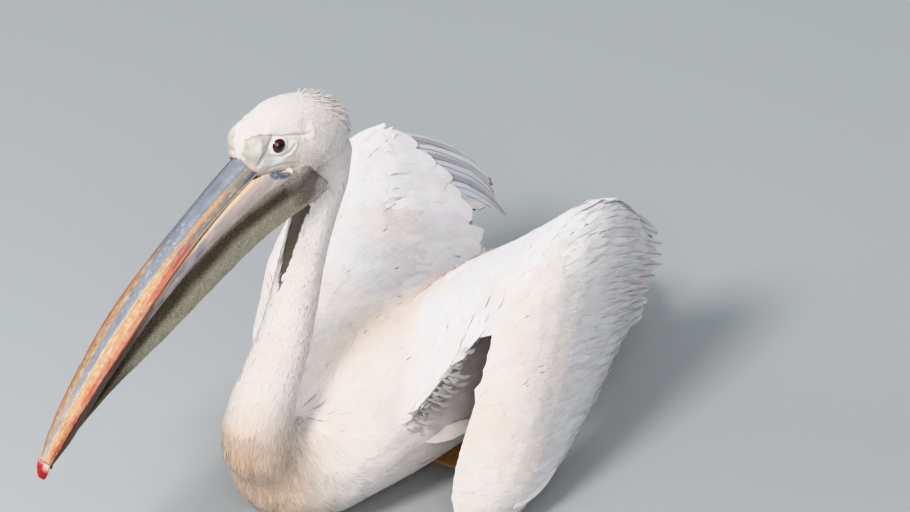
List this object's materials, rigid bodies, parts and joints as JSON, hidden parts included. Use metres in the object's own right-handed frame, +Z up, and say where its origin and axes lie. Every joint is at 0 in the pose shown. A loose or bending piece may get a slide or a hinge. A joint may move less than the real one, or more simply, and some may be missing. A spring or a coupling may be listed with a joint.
{
  "type": "great white pelican model",
  "caption": "Life-size still model of a great white pelican afloat, belly down, long pouched bill held low before the neck and both wings half raised.",
  "frame": {"origin": "middle of the flat under the belly, on the surface the bird rests on", "axes": "+Z up, -Y the way the breast faces, +X the bird's left side"},
  "size_m": [0.4576, 0.9407, 0.5593],
  "materials": {
    "plumage": "soft white body feathers with a faint pink tint",
    "breast_feathers": "narrow buff breast feathers",
    "flight_feathers": "blackish flight feathers with a slight sheen",
    "face": "bare swollen facial skin, cream and pinkish white",
    "bill_sides": "satin horn, orange and ochre sides with a blue-grey ridge",
    "bill_horn": "satin horn, blue-grey",
    "nail": "bright red horn hook",
    "pouch_skin": "thin pebbled olive-grey skin",
    "iris": "wet dark red-brown eye",
    "leg_skin": "scaly pinkish-orange skin"
  },
  "bodies": {
    "root": {"eye_left": "iris", "eye_right": "iris", "bill_upper": "bill_sides", "bill_nail": "nail", "bill_lower": "bill_horn", "head": "face", "foot_left": "leg_skin", "foot_right": "leg_skin", "leg_left": "leg_skin", "leg_right": "leg_skin", "trunk": "plumage", "neck_base": "breast_feathers", "neck_middle": "plumage", "neck_upper": "plumage", "pouch": "pouch_skin", "tail": "plumage", "wing_left_arm": "plumage", "wing_left_forearm": "plumage", "wing_left_hand": "flight_feathers", "wing_right_arm": "plumage", "wing_right_forearm": "plumage", "wing_right_hand": "flight_feathers"}
  },
  "joints": []
}
